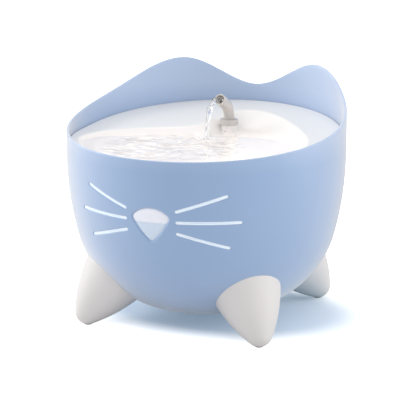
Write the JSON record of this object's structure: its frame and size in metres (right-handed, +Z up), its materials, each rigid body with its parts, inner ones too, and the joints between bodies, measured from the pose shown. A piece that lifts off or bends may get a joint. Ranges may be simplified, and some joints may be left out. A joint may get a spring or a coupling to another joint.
{
  "type": "pet water fountain",
  "caption": "Round drinking bowl on cone feet with a cat-ear rim and a whisker face, a lift-out basin, a bent spout, a filter tray and a small pump inside.",
  "frame": {"origin": "on the floor under the middle of the bowl", "axes": "+Z up, the nose faces -Y, +X to the right of a viewer who faces +Y"},
  "size_m": [0.2248, 0.2248, 0.1952],
  "materials": {
    "blue_abs": "satin moulded, light periwinkle blue",
    "foot_white": "fine moulded grain, warm white",
    "dish_white": "polished moulding",
    "clear_plastic": "clear, polished",
    "seal_rubber": "soft translucent grey",
    "pod_plastic": "plain moulded",
    "board_green": "glass-fibre board",
    "led_white": "light-emitting diode package",
    "screw_steel": "stainless",
    "riser_grey": "plain moulded",
    "filter_white": "plain moulded",
    "foam_grey": "open-cell foam",
    "carbon_black": "pad of carbon grains in fleece",
    "pump_black": "fine moulded grain",
    "core_steel": "stacked laminations",
    "coil_copper": "enamelled copper winding",
    "shaft_ceramic": "ground",
    "magnet_dark": "sintered ferrite",
    "impeller_white": "plain moulded"
  },
  "bodies": {
    "reservoir": {"reservoir_bowl": "blue_abs", "whisker_window_left": "clear_plastic", "whisker_window_right": "clear_plastic", "nose_lens": "clear_plastic", "nose_seal": "seal_rubber", "light_pod": "pod_plastic", "light_board": "board_green", "light_led": "led_white", "foot_screws": "screw_steel", "cable_grommet": "seal_rubber", "riser_tube": "riser_grey", "pump_housing": "pump_black", "pump_core": "core_steel", "pump_coil": "coil_copper", "pump_shaft": "shaft_ceramic", "volute_cover": "pump_black", "suction_cups": "seal_rubber", "pump_gland": "seal_rubber", "foot_front_right": "foot_white", "foot_pad_front_right": "seal_rubber", "foot_rear_right": "foot_white", "foot_pad_rear_right": "seal_rubber", "foot_rear_left": "foot_white", "foot_pad_rear_left": "seal_rubber", "foot_front_left": "foot_white", "foot_pad_front_left": "seal_rubber"},
    "dish": {"drinking_dish": "dish_white"},
    "collar": {"spout_collar": "clear_plastic"},
    "spout": {"spout_tube": "clear_plastic"},
    "filter": {"filter_basket": "filter_white", "filter_foam": "foam_grey", "filter_carbon": "carbon_black", "filter_grid": "filter_white"},
    "strainer": {"pump_strainer": "pump_black", "pump_foam": "foam_grey"},
    "dial": {"flow_dial": "pump_black"},
    "rotor": {"rotor_magnet": "magnet_dark", "impeller": "impeller_white"}
  },
  "joints": [
    {"name": "dish_lift", "type": "slide", "parent": "reservoir", "child": "dish", "axis": [0, 0, 1], "range_m": [0, 0.085]},
    {"name": "spout_pull", "type": "slide", "parent": "dish", "child": "collar", "axis": [0, 0, 1], "range_m": [0, 0.032]},
    {"name": "spout_swivel", "type": "hinge", "parent": "collar", "child": "spout", "pos_m": [0, 0.0489, 0.15], "axis": [0, 0, 1], "range_deg": [-90, 90]},
    {"name": "filter_unclip", "type": "slide", "parent": "dish", "child": "filter", "axis": [0, 0, -1], "range_m": [0, 0.006]},
    {"name": "strainer_slide", "type": "slide", "parent": "reservoir", "child": "strainer", "axis": [1, 0, 0], "range_m": [0, 0.018]},
    {"name": "flow_dial_turn", "type": "hinge", "parent": "strainer", "child": "dial", "pos_m": [0.0266, 0.036, 0.054], "axis": [1, 0, 0], "range_deg": [0, 90]},
    {"name": "impeller_spin", "type": "hinge", "parent": "reservoir", "child": "rotor", "pos_m": [0, 0.036, 0.043], "axis": [1, 0, 0], "continuous": true}
  ]
}
